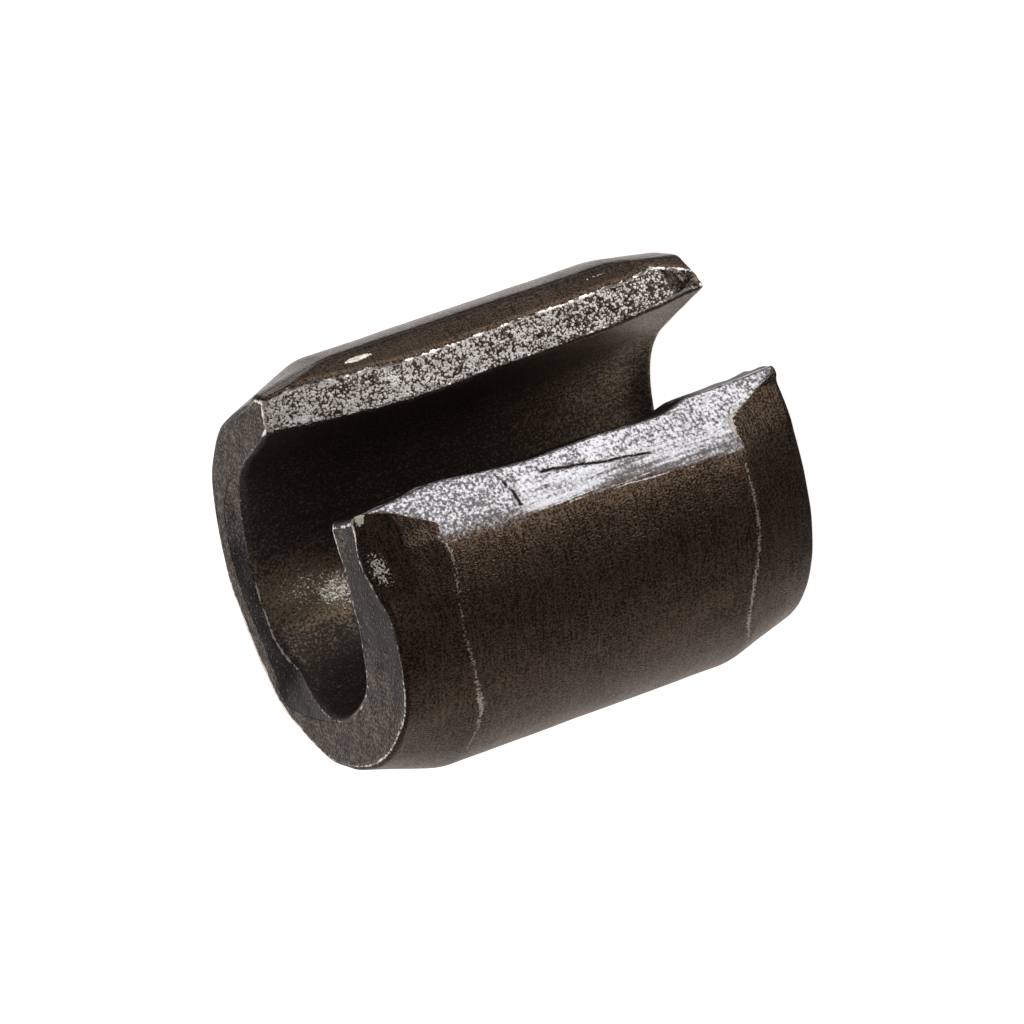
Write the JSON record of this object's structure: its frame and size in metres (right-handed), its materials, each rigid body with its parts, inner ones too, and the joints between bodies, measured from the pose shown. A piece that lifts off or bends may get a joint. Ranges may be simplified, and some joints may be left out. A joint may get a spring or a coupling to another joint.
{
  "type": "spring roll pin",
  "caption": "Short slotted spring pin: a thick strip of spring steel rolled into a C, with a tapered lead at both ends.",
  "frame": {"origin": "centre of the end face that the pin stands on, on the axis of its body", "axes": "+Z along the pin's axis, up; the slot faces -Y, and +X is to the right of someone who looks into it"},
  "size_m": [0.0128, 0.0119, 0.014],
  "materials": {
    "oiled_spring_steel": "satin"
  },
  "bodies": {
    "root": {"roll_pin": "oiled_spring_steel"}
  },
  "joints": []
}
